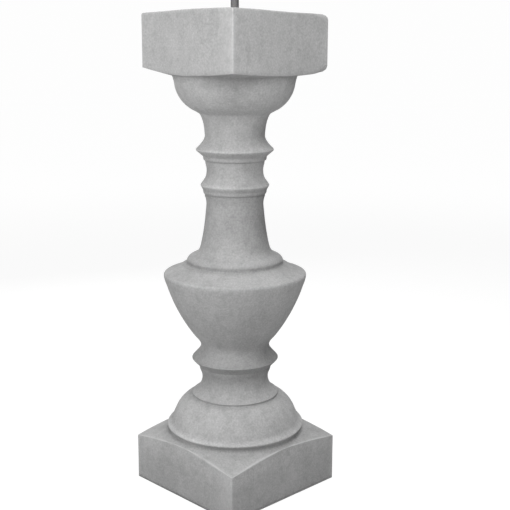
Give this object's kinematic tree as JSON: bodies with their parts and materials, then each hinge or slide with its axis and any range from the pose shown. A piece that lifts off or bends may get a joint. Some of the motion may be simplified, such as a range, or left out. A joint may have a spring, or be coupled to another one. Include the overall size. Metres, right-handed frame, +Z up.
{
  "type": "cast stone baluster",
  "caption": "Cast stone baluster with a square plinth, a turned urn-shaped stem with sharp rings, a square cap, and a steel bar standing out of its top.",
  "frame": {"origin": "centre of the underside", "axes": "+Z up along the stem; X and Y square to the sides of the plinth and the cap"},
  "size_m": [0.183, 0.183, 0.65],
  "materials": {
    "cast_stone": "plain grey cast cement as struck from the mould, faintly mottled, matt",
    "mild_steel": "plain round bar with dull dark mill scale"
  },
  "bodies": {
    "root": {"baluster": "cast_stone", "reinforcing_rod": "mild_steel"}
  },
  "joints": []
}
